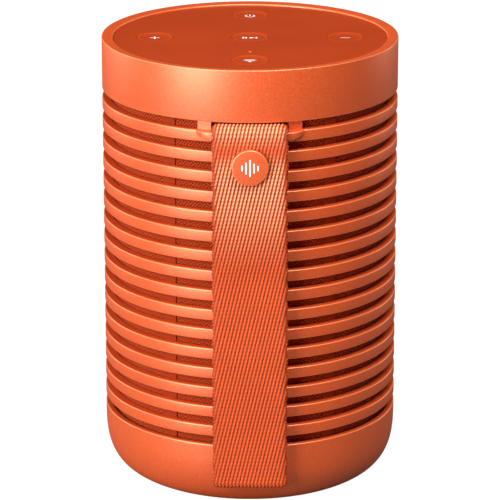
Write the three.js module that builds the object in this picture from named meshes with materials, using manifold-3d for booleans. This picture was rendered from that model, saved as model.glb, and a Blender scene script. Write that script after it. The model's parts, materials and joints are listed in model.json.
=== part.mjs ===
// A portable bluetooth speaker: a ribbed aluminium drum with a sunk key panel on top, speaker cloth behind
// its ribs, two opposed drivers inside and a webbing carry strap on a lug under the top ring.
// Millimetres, +Z up. The origin is the middle of the foot's underside, and -Y is the strap side.
import * as THREE from "three";
import { mergeVertices } from "three/addons/utils/BufferGeometryUtils.js";
import Module from "manifold-3d";

const wasm = await Module();
wasm.setup();

// ---------- driving dimensions ----------
const HEIGHT = 124;
const RADIUS = 40.5;
const RIB_COUNT = 16;
const RIB_HEIGHT = 3.0;
const SLOT_HEIGHT = 2.5;
const RIB_DEPTH = 2.1;
const BAND_HEIGHT = 14.2;
const SHELL_INNER = 38.9; // inner radius of the top ring and of the base at its mouth
const RIM_WIDTH = 3.0; // flat rim round the key panel
const PANEL_RECESS = 1.1; // the panel's face below the rim
const PANEL_THICKNESS = 1.6;
const GAP = 0.1; // between faces that lie on each other

const PITCH = RIB_HEIGHT + SLOT_HEIGHT;
const BAND_BOTTOM = HEIGHT - BAND_HEIGHT;
const BASE_TOP = BAND_BOTTOM - SLOT_HEIGHT - RIB_COUNT * PITCH;
const RIB_INNER = RADIUS - RIB_DEPTH;
const FIRST_RIB_TOP = BAND_BOTTOM - SLOT_HEIGHT;
const PANEL_TOP = HEIGHT - PANEL_RECESS;
const PANEL_BOTTOM = PANEL_TOP - PANEL_THICKNESS;

// Pillars join the ribs behind the slots, at these angles either side of the front and of the back.
const PILLAR_ANGLE = 34;
const PILLAR_WIDTH = 3.6;
const PILLAR_INNER = 36.7;

const KEY_CIRCLE = 26; // radius on which the four outer keys lie
const KEY_RADIUS = 5;
const KEY_HOLE = 5.2;
const LIGHT_AT = 16.8;

// The base is a superellipse of revolution: rounded from its mouth down to the foot.
const BASE_POWER = 3;
const BASE_REACH = 16.5;
const BASE_DROP = 18.2;
const BASE_FLOOR = 0.8;
const FOOT_RADIUS = 29.8;
const FOOT_RECESS = 0.6;

// The strap turns about the lug's bar.
const STRAP_WIDTH = 19.8;
const STRAP_THICKNESS = 1.5;
const BAR = { y: -40, z: 106.25, depth: 2.6, height: 2.3 };
const LOOP_INNER = 1.75;
const LOOP_OUTER = LOOP_INNER + STRAP_THICKNESS;
const STRAP_BACK = -0.8; // the strap's back and front faces, from the bar's centre
const STRAP_FRONT = -3.85;
const STRAP_BOTTOM = 8;
const BADGE = { z: 98.8, radius: 4.85, thickness: 1.3 };
// The webbing bends here, below the badge.
const FLEX = { y: BAR.y + (STRAP_BACK + STRAP_FRONT) / 2, z: 87.5 };

const CORE_OUTER = 36.4;
const CORE_INNER = 34.2;
const CORE_BOTTOM = 20.2;
const CORE_TOP = 101.4;
const LID = { bottom: 102.2, top: 104.4 };
const PLATE = { bottom: 17, top: 19.4 };
const DRIVER_Z = 76.5;
const BAFFLE = { inner: 24.7, outer: 27.2 };
const BOARD = { bottom: 9.1, top: 10.3 };
const KEY_BOARD = { bottom: 116, top: 117.2 };
const SCREW_ANGLES = [45, 165, 285]; // from the front, for both sets of long screws, clear of the keys
const RING_SCREW_CIRCLE = 33.4;
const BASE_SCREW_CIRCLE = 24;

const ROUND = 28; // sides of the large turned pieces
const MEDIUM = 16;
const SMALL = 8;

// ---------- colours and finishes ----------
const finish = (color, roughness, metalness = 0) => ({ color, roughness, metalness });
const ANODISED = finish(0xe0673a, 0.42, 0.75);
const PANEL_POLYMER = finish(0xc9501f, 0.6);
const KEY_POLYMER = finish(0xd0561f, 0.55);
const CLOTH = finish(0xa83c17, 0.95);
const WEBBING = finish(0xd85726, 0.9);
const ENCLOSURE = finish(0x2b2b2d, 0.6);
const RUBBER = finish(0x1d1d1e, 0.85);
const FOOT_RUBBER = finish(0xb8481d, 0.85);
const STEEL = finish(0x8d9094, 0.35, 1);
const MAGNET = finish(0x3a3b3e, 0.5, 0.6);
const PAPER_CONE = finish(0x242425, 0.9);
const CIRCUIT_BOARD = finish(0x1f4d33, 0.5);
const CELL_WRAP = finish(0x2f5d8c, 0.45);
const CLEAR = finish(0xfff3e6, 0.2);

// ---------- from three.js geometry to closed solids and back ----------
const radians = THREE.MathUtils.degToRad;

// A closed three.js geometry as a manifold-3d solid that faces outwards.
function solid(geometry) {
  const bare = (geometry.index ? geometry.toNonIndexed() : geometry).clone();
  bare.deleteAttribute("normal");
  bare.deleteAttribute("uv");
  const merged = mergeVertices(bare, 1e-4);
  const corners = [];
  const index = merged.index.array;
  for (let i = 0; i < index.length; i += 3) {
    const [a, b, c] = [index[i], index[i + 1], index[i + 2]];
    if (a !== b && b !== c && c !== a) corners.push(a, b, c);
  }
  const build = (order) =>
    new wasm.Manifold(
      new wasm.Mesh({
        numProp: 3,
        vertProperties: new Float32Array(merged.attributes.position.array),
        triVerts: new Uint32Array(order),
      }),
    );
  const made = build(corners);
  return made.volume() > 0 ? made : build(corners.reverse());
}

function geometryOf(made) {
  const { vertProperties, triVerts } = made.getMesh();
  const geometry = new THREE.BufferGeometry();
  geometry.setAttribute("position", new THREE.BufferAttribute(vertProperties.slice(), 3));
  geometry.setIndex(new THREE.BufferAttribute(triVerts.slice(), 1));
  geometry.computeVertexNormals();
  return geometry;
}

// A profile of [radius, height] points turned about +Z. A profile off the axis closes on itself.
function turned(profile, sides = ROUND) {
  const onAxis = profile[0][0] === 0 && profile.at(-1)[0] === 0;
  const points = (onAxis ? profile : [...profile, profile[0]]).map(([r, z]) => new THREE.Vector2(r, z));
  return solid(new THREE.LatheGeometry(points, sides).rotateX(Math.PI / 2));
}

const tube = (inner, outer, low, high, sides = ROUND) =>
  turned([[inner, low], [outer, low], [outer, high], [inner, high]], sides);

const rod = (radius, low, high, sides = SMALL) =>
  turned([[0, low], [radius, low], [radius, high], [0, high]], sides);

// A box between two corners.
function block([x0, y0, z0], [x1, y1, z1]) {
  const geometry = new THREE.BoxGeometry(x1 - x0, y1 - y0, z1 - z0);
  return solid(geometry.translate((x0 + x1) / 2, (y0 + y1) / 2, (z0 + z1) / 2));
}

// An outline in X and Y, raised from low to high.
function raised(shape, low, high, options = {}) {
  const geometry = new THREE.ExtrudeGeometry(shape, { depth: high - low, bevelEnabled: false, ...options });
  return solid(geometry.translate(0, 0, low));
}

// An outline drawn in Y and Z, drawn out evenly either side of X = 0.
function drawnAcross(shape, width, curveSegments = 8) {
  const geometry = new THREE.ExtrudeGeometry(shape, { depth: width, bevelEnabled: false, curveSegments });
  const turn = new THREE.Matrix4().makeBasis(
    new THREE.Vector3(0, 1, 0),
    new THREE.Vector3(0, 0, 1),
    new THREE.Vector3(1, 0, 0),
  );
  return solid(geometry.translate(0, 0, -width / 2).applyMatrix4(turn));
}

// A rectangle with round ends in X and Z, drawn along Y from near to far.
function capsuleAlongY(width, height, near, far, z) {
  const end = height / 2;
  const reach = width / 2 - end;
  const shape = new THREE.Shape();
  shape.absarc(reach, 0, end, -Math.PI / 2, Math.PI / 2, false);
  shape.absarc(-reach, 0, end, Math.PI / 2, (3 * Math.PI) / 2, false);
  const options = { depth: far - near, bevelEnabled: false, curveSegments: 5 };
  const geometry = new THREE.ExtrudeGeometry(shape, options).rotateX(Math.PI / 2);
  return solid(geometry.translate(0, far, z));
}

// A part of a tube between two angles, in degrees round from the front towards +X.
function curvedPanel(inner, outer, from, to, low, high) {
  const start = radians(from - 90);
  const end = radians(to - 90);
  const shape = new THREE.Shape();
  shape.absarc(0, 0, outer, start, end, false);
  shape.absarc(0, 0, inner, end, start, true);
  return raised(shape, low, high, { curveSegments: Math.ceil((to - from) / 10) });
}

// [x, y] on a circle, at an angle in degrees round from the front towards +X.
const around = (radius, angle) => [radius * Math.sin(radians(angle)), -radius * Math.cos(radians(angle))];

const joined = (first, ...others) => others.reduce((whole, other) => whole.add(other), first);
const without = (first, ...others) => others.reduce((whole, other) => whole.subtract(other), first);

// ---------- the assembly ----------
const speaker = new THREE.Group();

function place(name, made, { color, roughness, metalness }) {
  const material = new THREE.MeshStandardMaterial({ color, roughness, metalness });
  const mesh = new THREE.Mesh(geometryOf(made), material);
  mesh.name = name;
  speaker.add(mesh);
  return mesh;
}

// The top ring carries the panel on a ledge, and a boss under the ledge for each screw into the lid.
function topRing() {
  const edge = 0.35;
  const rim = RADIUS - RIM_WIDTH;
  const ledge = { inner: 34.9, top: PANEL_BOTTOM - 0.6, bottom: 118.6 };
  const ring = turned([
    [SHELL_INNER, BAND_BOTTOM],
    [RADIUS - edge, BAND_BOTTOM],
    [RADIUS, BAND_BOTTOM + edge],
    [RADIUS, HEIGHT - edge],
    [RADIUS - edge, HEIGHT],
    [rim + edge, HEIGHT],
    [rim, HEIGHT - edge],
    [rim, ledge.top],
    [ledge.inner, ledge.top],
    [ledge.inner, ledge.bottom],
    [SHELL_INNER, ledge.bottom],
  ]);
  const bosses = SCREW_ANGLES.map((angle) => {
    const [x, y] = around(RING_SCREW_CIRCLE, angle);
    return {
      boss: rod(3, 108.6, ledge.top, MEDIUM).translate(x, y, 0),
      bore: rod(1.15, 108, ledge.top + 1).translate(x, y, 0),
      seat: rod(2.2, 118.9, ledge.top + 1).translate(x, y, 0),
    };
  });
  const solidRing = joined(ring, ...bosses.map(({ boss }) => boss));
  return without(solidRing, ...bosses.flatMap(({ bore, seat }) => [bore, seat]));
}

// Sixteen ribs on four pillars, tied by a hoop at each end. The first rib is cut back for the lug and strap.
function ribCage() {
  const ribs = Array.from({ length: RIB_COUNT }, (_, i) => {
    const top = FIRST_RIB_TOP - i * PITCH;
    return tube(RIB_INNER, RADIUS, top - RIB_HEIGHT, top);
  });
  const pillars = [PILLAR_ANGLE, 180 - PILLAR_ANGLE, 180 + PILLAR_ANGLE, -PILLAR_ANGLE].map((angle) => {
    const upright = block([-PILLAR_WIDTH / 2, -RIB_INNER, 15.8], [PILLAR_WIDTH / 2, -PILLAR_INNER, 115.5]);
    return upright.rotate([0, 0, angle]);
  });
  const topHoop = tube(PILLAR_INNER, RIB_INNER - 0.2, 111.5, 115.5);
  const bottomHoop = tube(PILLAR_INNER, RIB_INNER - 0.2, 15.8, 17.8);
  const lugNotch = block([-14.5, -45, 105], [14.5, -30, FIRST_RIB_TOP + 0.2]);
  const notchLow = FIRST_RIB_TOP - RIB_HEIGHT - 0.2;
  const strapNotch = block([-10.35, -45, notchLow], [10.35, -30, FIRST_RIB_TOP + 0.2]);
  return without(joined(ribs[0], ...ribs.slice(1), ...pillars, topHoop, bottomHoop), lugNotch, strapNotch);
}

// Points of the base's section from the floor up to the mouth, for an angle a and a power n:
// r = centre + reach * cos(a)^(2/n), and the drop below the mouth goes as sin(a)^(2/n).
function baseCurve(reach, drop, floor, steps) {
  const centre = RADIUS - BASE_REACH;
  const power = 2 / BASE_POWER;
  const points = Array.from({ length: steps + 1 }, (_, i) => {
    const angle = (1 - i / steps) * (Math.PI / 2);
    return [centre + reach * Math.cos(angle) ** power, BASE_DROP - drop * Math.sin(angle) ** power];
  });
  return points.filter(([, z]) => z > floor + 0.3);
}

function baseShell() {
  const edge = 0.35;
  const innerFloor = 2.8;
  const outside = baseCurve(BASE_REACH, BASE_DROP, BASE_FLOOR, 9);
  const inside = baseCurve(SHELL_INNER - RADIUS + BASE_REACH, BASE_DROP - innerFloor, innerFloor, 5);
  const cup = turned([
    [0, BASE_FLOOR],
    [32.3, BASE_FLOOR],
    ...outside,
    [RADIUS, BASE_TOP - edge],
    [RADIUS - edge, BASE_TOP],
    [SHELL_INNER, BASE_TOP],
    ...inside.reverse(),
    [inside.at(-1)[0] - 3, innerFloor],
    [0, innerFloor],
  ]);
  const bosses = SCREW_ANGLES.map((angle) => rod(3, 2.5, BOARD.bottom - GAP, MEDIUM).translate(...around(
    BASE_SCREW_CIRCLE, angle), 0));
  const bores = SCREW_ANGLES.flatMap((angle) => {
    const [x, y] = around(BASE_SCREW_CIRCLE, angle);
    return [rod(1.25, 0, 12).translate(x, y, 0), rod(2.5, 0, 3.4).translate(x, y, 0)];
  });
  const footRecess = rod(FOOT_RADIUS + 0.3, 0, BASE_FLOOR + FOOT_RECESS, ROUND);
  const portOpening = capsuleAlongY(9.9, 4.2, 30, 45, 12);
  return without(joined(cup, ...bosses), footRecess, portOpening, ...bores);
}

function footPad() {
  const top = BASE_FLOOR + FOOT_RECESS - GAP / 2;
  return turned([[0, 0], [FOOT_RADIUS - 0.6, 0], [FOOT_RADIUS, 0.6], [FOOT_RADIUS, top], [0, top]]);
}

const KEYS = [
  ["button_play", 0, 0],
  ["button_volume_up", -KEY_CIRCLE, 0],
  ["button_volume_down", KEY_CIRCLE, 0],
  ["button_power", 0, KEY_CIRCLE],
  ["button_link", 0, -KEY_CIRCLE],
];

function topPanel() {
  const disc = rod(RADIUS - RIM_WIDTH - 0.25, PANEL_BOTTOM, PANEL_TOP, ROUND);
  const hole = rod(KEY_HOLE, PANEL_BOTTOM - 1, PANEL_TOP + 1, MEDIUM);
  const holes = KEYS.map(([, x, y]) => hole.translate(x, y, 0));
  const lightHole = rod(0.65, PANEL_BOTTOM - 1, PANEL_TOP + 1).translate(0, -LIGHT_AT, 0);
  return without(disc, ...holes, lightHole);
}

// A key is held under the panel by its flange, and its top is a shallow dish.
function key() {
  const bottom = PANEL_BOTTOM - 1.05;
  return turned([
    [0, bottom],
    [6, bottom],
    [6, PANEL_BOTTOM - 0.2],
    [KEY_RADIUS, PANEL_BOTTOM - 0.2],
    [KEY_RADIUS, PANEL_TOP - 0.05],
    [2.8, PANEL_TOP - 0.3],
    [0, PANEL_TOP - 0.4],
  ], MEDIUM);
}

function keypadMembrane() {
  const sheet = rod(29.8, 118.9, 119.55, ROUND);
  const pushers = KEYS.map(([, x, y]) => rod(2.5, 119.3, 119.75).translate(x, y, 0));
  return without(joined(sheet, ...pushers), rod(0.9, 118, 121).translate(0, -LIGHT_AT, 0));
}

function controls() {
  place("top_panel", topPanel(), PANEL_POLYMER);
  KEYS.forEach(([name, x, y]) => place(name, key().translate(x, y, 0), KEY_POLYMER));
  place("top_gasket", tube(35.2, 37.2, PANEL_BOTTOM - 0.55, PANEL_BOTTOM - 0.05), RUBBER);
  place("keypad_membrane", keypadMembrane(), RUBBER);
  place("control_board", rod(29.8, KEY_BOARD.bottom, KEY_BOARD.top, ROUND), CIRCUIT_BOARD);
  KEYS.forEach(([name, x, y]) => {
    const dome = rod(2.4, KEY_BOARD.top + 0.05, 118.7).translate(x, y, 0);
    place(name.replace("button", "dome_switch"), dome, STEEL);
  });
  const light = rod(0.5, KEY_BOARD.top + 0.05, PANEL_TOP + 0.05);
  place("status_light", light.translate(0, -LIGHT_AT, 0), CLEAR);
}

// Screw with its head up (or down), its shank from tip to seat, on the Z axis.
function screw({ tip, seat, shank, head, headHeight }) {
  const up = seat > tip ? 1 : -1;
  const profile = [[0, tip], [shank, tip], [shank, seat], [head, seat], [head, seat + up * headHeight]];
  return turned([...profile, [0, seat + up * headHeight]], SMALL);
}

function longScrews() {
  SCREW_ANGLES.forEach((angle, i) => {
    const ring = screw({ tip: 103.6, seat: 119, shank: 1, head: 2, headHeight: 1.5 });
    place(`ring_screw_${i + 1}`, ring.translate(...around(RING_SCREW_CIRCLE, angle), 0), STEEL);
    const base = screw({ tip: 15.5, seat: 3.3, shank: 0.95, head: 2.2, headHeight: 1.5 });
    place(`base_screw_${i + 1}`, base.translate(...around(BASE_SCREW_CIRCLE, angle), 0), STEEL);
  });
}

// The lug is a plate with a slot; its front bar carries the strap and its ends sweep back to the first rib.
function strapLug() {
  const front = BAR.y - BAR.depth / 2;
  const half = 14.2;
  const bevel = 0.4;
  const plate = new THREE.Shape();
  plate.moveTo(-half, -31.5);
  plate.lineTo(-half, -38.1);
  plate.quadraticCurveTo(-half + 0.6, front, -10.4, front);
  plate.lineTo(10.4, front);
  plate.quadraticCurveTo(half - 0.6, front, half, -38.1);
  plate.lineTo(half, -31.5);
  plate.closePath();
  const slot = new THREE.Path();
  slot.moveTo(-10.7, -36.2);
  slot.lineTo(-10.7, BAR.y + BAR.depth / 2);
  slot.lineTo(10.7, BAR.y + BAR.depth / 2);
  slot.lineTo(10.7, -36.2);
  slot.closePath();
  plate.holes.push(slot);
  const options = { bevelEnabled: true, bevelThickness: bevel, bevelSize: bevel, bevelOffset: -bevel };
  const low = BAR.z - BAR.height / 2;
  const made = raised(plate, low + bevel, low + BAR.height - bevel, {
    ...options,
    bevelSegments: 1,
    curveSegments: 5,
  });
  const bores = [-9, 9].map((x) => rod(1.15, 100, 110).translate(x, -33.6, 0));
  return without(made, ...bores);
}

function strapUpper() {
  const { y, z } = BAR;
  const at = (dy, dz) => [y + dy, z + dz];
  const leave = radians(210);
  const meet = radians(-75);
  const endZ = FLEX.z + 1.7 - z;
  const outline = new THREE.Shape();
  outline.moveTo(...at(STRAP_FRONT, endZ));
  outline.lineTo(...at(STRAP_FRONT, -9.5));
  const onLoop = at(LOOP_OUTER * Math.cos(leave), LOOP_OUTER * Math.sin(leave));
  outline.quadraticCurveTo(...at(-3.55, -5), ...onLoop);
  outline.absarc(y, z, LOOP_OUTER, leave, meet, true);
  outline.quadraticCurveTo(...at(STRAP_BACK - 0.05, -3.6), ...at(STRAP_BACK, -4.9));
  outline.lineTo(...at(STRAP_BACK, endZ));
  outline.closePath();
  const loop = new THREE.Path();
  loop.absarc(y, z, LOOP_INNER, 0, 2 * Math.PI, false);
  outline.holes.push(loop);
  const web = drawnAcross(outline, STRAP_WIDTH, 14);
  const rivetBore = rod(1.35, -2, 8).rotate([90, 0, 0]).translate(0, y, BADGE.z);
  const seatBottom = y + STRAP_BACK - 0.55 + 3;
  const washerSeat = rod(3.4, 0, 3, MEDIUM).rotate([90, 0, 0]).translate(0, seatBottom, BADGE.z);
  return without(web, rivetBore, washerSeat);
}

function strapTail() {
  const half = (STRAP_BACK - STRAP_FRONT) / 2;
  const outline = new THREE.Shape();
  outline.absarc(FLEX.y, FLEX.z, half, 0, Math.PI, false);
  outline.absarc(FLEX.y, STRAP_BOTTOM + half, half, Math.PI, 2 * Math.PI, false);
  return drawnAcross(outline, STRAP_WIDTH, 8);
}

function strapRivet() {
  const face = BAR.y + STRAP_FRONT - GAP;
  const disc = rod(BADGE.radius, 0, BADGE.thickness, 28);
  const post = rod(1.2, -3, 0.5);
  const badge = joined(disc, post).rotate([90, 0, 0]).translate(0, face, BADGE.z);
  const washer = tube(1.4, 3.2, 0, 0.4, MEDIUM).rotate([90, 0, 0]);
  place("strap_badge", badge, ANODISED);
  place("rivet_washer", washer.translate(0, BAR.y + STRAP_BACK - 0.08, BADGE.z), STEEL);
}

function carryStrap() {
  place("strap_lug", strapLug(), ANODISED);
  [-9, 9].forEach((x, i) => {
    const fixing = screw({ tip: 103.4, seat: 107.5, shank: 1, head: 1.8, headHeight: 1.2 });
    place(`lug_screw_${i + 1}`, fixing.translate(x, -33.6, 0), STEEL);
  });
  place("strap_upper", strapUpper(), WEBBING);
  place("strap_tail", strapTail(), WEBBING);
  strapRivet();
}

// Four panels of speaker cloth fill the spaces between the pillars.
function speakerCloth() {
  const edge = 3.4; // degrees from a pillar's middle to the cloth's edge
  const [low, high] = [18.3, 110.9];
  const side = [PILLAR_ANGLE + edge, 180 - PILLAR_ANGLE - edge];
  const panel = (from, to) => curvedPanel(37.2, 37.7, from, to, low, high);
  const lugCut = block([-14.6, -45, 102.4], [14.6, -30, 120]);
  place("cloth_front", without(panel(edge - PILLAR_ANGLE, PILLAR_ANGLE - edge), lugCut), CLOTH);
  place("cloth_right", panel(...side), CLOTH);
  place("cloth_left", panel(side[0] + 180, side[1] + 180), CLOTH);
  place("cloth_back", panel(180 - PILLAR_ANGLE + edge, 180 + PILLAR_ANGLE - edge), CLOTH);
}

// The core is a tube with a floor over the battery bay and a flat baffle behind each driver.
function coreTube() {
  const wall = tube(CORE_INNER, CORE_OUTER, CORE_BOTTOM, CORE_TOP);
  const floor = rod(CORE_INNER + 0.5, 49, 51, ROUND);
  const body = rod(CORE_OUTER, CORE_BOTTOM, CORE_TOP, ROUND);
  const step = 1.5; // thickness of the shelf above and below each driver
  const [low, high] = [50.5, CORE_TOP];
  const sides = [1, -1].map((side) => {
    const span = (a, b) => (side > 0 ? [a, b] : [-b, -a]);
    const [x0, x1] = span(BAFFLE.inner, RADIUS);
    const [p0, p1] = span(BAFFLE.outer, RADIUS);
    return {
      box: block([x0, -30, low], [x1, 30, high]).intersect(body),
      pocket: block([p0, -30, low + step], [p1, 30, high - step]),
      hole: rod(20.3, 0, 50, MEDIUM).rotate([0, 90, 0]).translate(side > 0 ? 0 : -50, 0, DRIVER_Z),
    };
  });
  const whole = joined(wall, floor, ...sides.map(({ box }) => box));
  const cable = rod(2.2, 40, 60).translate(0, 22, 0);
  return without(whole, ...sides.flatMap(({ pocket, hole }) => [pocket, hole]), cable);
}

function coreLid() {
  const bosses = SCREW_ANGLES.map((angle) => {
    const [x, y] = around(RING_SCREW_CIRCLE, angle);
    return rod(3, LID.top - 1, 108.4, MEDIUM).translate(x, y, 0);
  });
  const posts = [0, 120, 240].map((angle) => rod(2.2, LID.top - 1, KEY_BOARD.bottom - GAP).translate(
    ...around(20, angle), 0));
  const pads = [-9, 9].map((x) => rod(2.6, LID.top - 1, 105).translate(x, -33.6, 0));
  const ringBores = SCREW_ANGLES.map((angle) => rod(1.1, 103.4, 110).translate(
    ...around(RING_SCREW_CIRCLE, angle), 0));
  const lugBores = [-9, 9].map((x) => rod(1.1, 103.2, 110).translate(x, -33.6, 0));
  const disc = rod(CORE_OUTER, LID.bottom, LID.top, ROUND);
  return without(joined(disc, ...bosses, ...posts, ...pads), ...ringBores, ...lugBores);
}

function bottomPlate() {
  const disc = rod(CORE_OUTER, PLATE.bottom, PLATE.top, ROUND);
  const posts = SCREW_ANGLES.map((angle) => rod(3, BOARD.top + GAP, PLATE.bottom + 1, MEDIUM).translate(
    ...around(BASE_SCREW_CIRCLE, angle), 0));
  const bore = rod(1.05, 9, 16);
  const bores = SCREW_ANGLES.map((angle) => bore.translate(...around(BASE_SCREW_CIRCLE, angle), 0));
  return without(joined(disc, ...posts), ...bores);
}

// Each driver is turned about its own axis, then laid along X with its mouth outwards.
function driver(side, label) {
  const lay = (made) => made.rotate([0, side * 90, 0]).translate(0, 0, DRIVER_Z);
  const basket = [
    [22, 28.8], [22, 27.35], [20, 27.35], [19, 23.5], [13.5, 16.4], [13.5, 15.1], [5, 15.1],
    [5, 16], [12.6, 16], [18, 23.9], [18.9, 28.8],
  ];
  const surround = [
    [21.4, 28.9], [21.4, 29.4], [20.6, 29.4], [19.8, 30.4], [18.8, 30.4], [17.95, 29.3],
    [17.95, 28.9], [19.2, 30], [19.5, 30], [20.3, 28.9],
  ];
  const cone = [[17.6, 28.6], [17.6, 28], [6.6, 20.6], [6.6, 17.6], [6.1, 17.6], [6.1, 20.9], [17.2, 28.6]];
  const cap = [[0, 22.6], [3.4, 22], [5.8, 21.2], [5.8, 20.7], [3.4, 21.5], [0, 22.1]];
  place(`driver_basket_${label}`, lay(turned(basket, MEDIUM)), STEEL);
  place(`driver_surround_${label}`, lay(turned(surround, MEDIUM)), RUBBER);
  place(`driver_cone_${label}`, lay(turned(cone, MEDIUM)), PAPER_CONE);
  place(`driver_dust_cap_${label}`, lay(turned(cap, MEDIUM)), PAPER_CONE);
  place(`driver_magnet_${label}`, lay(rod(13, 7, 15, MEDIUM)), MAGNET);
}

// A wire from a driver's terminal down to the cable hole in the core's floor.
function speakerLead(side) {
  const route = new THREE.CatmullRomCurve3([
    new THREE.Vector3(side * 10, 14, DRIVER_Z),
    new THREE.Vector3(side * 8, 19, 70),
    new THREE.Vector3(side * 3, 21.5, 58),
    new THREE.Vector3(side * 0.9, 22, 52.5),
    new THREE.Vector3(side * 0.9, 22, 47),
  ]);
  const section = new THREE.Shape();
  section.absarc(0, 0, 0.75, 0, 2 * Math.PI, false);
  return solid(new THREE.ExtrudeGeometry(section, { steps: 9, extrudePath: route, curveSegments: 3 }));
}

function batteryPack() {
  const cell = { radius: 9.1, length: 50, x: 9.6, z: 35.2 };
  const lay = (made, side) => made.rotate([90, 0, 0]).translate(side * cell.x, 0, cell.z);
  const tray = block([-21, -26, 20.6], [21, 26, 31]);
  const grooves = [1, -1].map((side) => lay(rod(cell.radius + 0.3, -30, 30, MEDIUM), side));
  place("battery_tray", without(tray, ...grooves), ENCLOSURE);
  [["right", 1], ["left", -1]].forEach(([label, side]) => {
    const made = rod(cell.radius, -cell.length / 2, cell.length / 2, MEDIUM);
    place(`battery_cell_${label}`, lay(made, side), CELL_WRAP);
  });
}

function mainBoard() {
  const board = rod(33, BOARD.bottom, BOARD.top, ROUND);
  const bore = rod(1.4, 8, 12);
  const bores = SCREW_ANGLES.map((angle) => bore.translate(...around(BASE_SCREW_CIRCLE, angle), 0));
  place("main_board", without(board, ...bores), CIRCUIT_BOARD);
  place("amplifier_shield", block([-9, -14, BOARD.top + 0.05], [9, 4, 13]), STEEL);
  const portZ = 12;
  const shell = without(capsuleAlongY(9, 3.2, 31.6, 39.4, portZ), capsuleAlongY(8.3, 2.5, 32.8, 41, portZ));
  const tongue = block([-3.3, 32.5, portZ - 0.35], [3.3, 38.2, portZ + 0.35]);
  place("usb_receptacle", joined(shell, tongue), STEEL);
  const sealHole = capsuleAlongY(9.15, 3.35, 38, 41, portZ);
  place("usb_seal", without(capsuleAlongY(9.7, 4, 38.9, 39.9, portZ), sealHole), RUBBER);
}

place("top_ring", topRing(), ANODISED);
place("rib_cage", ribCage(), ANODISED);
place("base_shell", baseShell(), ANODISED);
place("foot_pad", footPad(), FOOT_RUBBER);
controls();
carryStrap();
speakerCloth();
place("core_tube", coreTube(), ENCLOSURE);
place("core_lid", coreLid(), ENCLOSURE);
place("lid_seal", tube(34.5, 36.1, CORE_TOP + GAP, LID.bottom - GAP), RUBBER);
place("base_seal", tube(34.5, 36.1, PLATE.top + GAP, CORE_BOTTOM - GAP), RUBBER);
place("bottom_plate", bottomPlate(), ENCLOSURE);
driver(1, "right");
driver(-1, "left");
place("speaker_lead_right", speakerLead(1), PAPER_CONE);
place("speaker_lead_left", speakerLead(-1), PAPER_CONE);
batteryPack();
mainBoard();
longScrews();

export default speaker;
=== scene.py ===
"""Looks of a drum-shaped portable speaker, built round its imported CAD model.

Shapes are worked out in millimetres as grids of points and put into meshes in metres. Z is up, the drum
stands on the origin, and -Y is the strap side.
"""

import json
import logging
import math
from dataclasses import dataclass, field, replace
from enum import Enum
from typing import Any, Iterable, Sequence

import bmesh
import bpy
import numpy as np
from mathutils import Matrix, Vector
from mathutils.geometry import delaunay_2d_cdt
from numpy.typing import NDArray


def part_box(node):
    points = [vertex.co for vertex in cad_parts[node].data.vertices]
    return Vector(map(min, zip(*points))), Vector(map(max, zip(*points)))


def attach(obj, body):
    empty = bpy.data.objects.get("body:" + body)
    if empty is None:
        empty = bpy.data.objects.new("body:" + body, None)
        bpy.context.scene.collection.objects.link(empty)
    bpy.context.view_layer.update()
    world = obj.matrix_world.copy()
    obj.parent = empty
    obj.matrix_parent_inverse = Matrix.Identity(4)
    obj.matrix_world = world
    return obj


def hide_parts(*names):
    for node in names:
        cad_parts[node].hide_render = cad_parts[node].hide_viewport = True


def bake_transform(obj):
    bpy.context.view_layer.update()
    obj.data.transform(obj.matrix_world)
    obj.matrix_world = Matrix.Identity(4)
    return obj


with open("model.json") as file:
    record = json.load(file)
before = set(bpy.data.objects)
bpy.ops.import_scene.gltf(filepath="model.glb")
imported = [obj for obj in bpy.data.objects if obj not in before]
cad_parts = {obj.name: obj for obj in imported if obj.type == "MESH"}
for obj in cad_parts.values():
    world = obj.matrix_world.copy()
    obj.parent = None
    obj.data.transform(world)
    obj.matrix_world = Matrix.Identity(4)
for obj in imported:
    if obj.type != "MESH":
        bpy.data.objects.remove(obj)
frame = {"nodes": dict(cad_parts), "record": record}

Array = NDArray[np.float64]
Colour = tuple[float, float, float]
Piece = bpy.types.Object
Socket = bpy.types.NodeSocket
Material = bpy.types.Material
Value = Socket | float | tuple[float, ...] | None  # what a node can be fed: a link, a value or nothing
MM = 0.001
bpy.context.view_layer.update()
RELIEF = "relief"
PANEL_LIFT = 0.4  # how far the key panel's face stands above the CAD node's, in millimetres
PORT_SIZE = (9.9, 4.2)  # width and height of the charging opening, in millimetres
PORT_Z = 12.0
log = logging.getLogger("speaker")


# ---- surfaces


@dataclass
class Patch:
    """A grid of points with a quad between each four neighbours.

    Attributes:
        points: (rows, columns, 3) array in millimetres.
        closed: whether the last row joins the first, and the last column the first.
        uv: (rows, columns, 2) pattern coordinates in millimetres, with one more row or column where the
            grid is closed, or None.
        relief: (rows, columns) array, 0 in a hollow and 1 on a crest or edge, or None; the finishes paint
            highlights and shade by it.
    """

    points: Array
    closed: tuple[bool, bool] = (False, False)
    uv: Array | None = None
    relief: Array | None = None

    def moved(self, offset: Sequence[float]) -> "Patch":
        """The same patch, shifted by an offset in millimetres."""
        return replace(self, points=self.points + np.asarray(offset, float))

    def index(self) -> NDArray:
        """The four point numbers of each quad, (m, 4).

        Returns:
            Indices into the patch's points, taken row by row.
        """
        rows, columns = self.points.shape[:2]
        down = np.arange(rows + self.closed[0]) % rows
        across = np.arange(columns + self.closed[1]) % columns
        return corners_of(down[:, None] * columns + across[None, :])

    def corner_uv(self) -> Array:
        """The pattern coordinates of each quad's corners, (m, 4, 2)."""
        return np.zeros((*self.index().shape, 2)) if self.uv is None else corners_of(self.uv)

    def point_relief(self) -> Array:
        """The relief of each point, 0 where the patch has none."""
        return np.zeros(self.points.size // 3) if self.relief is None else self.relief.reshape(-1)


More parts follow.
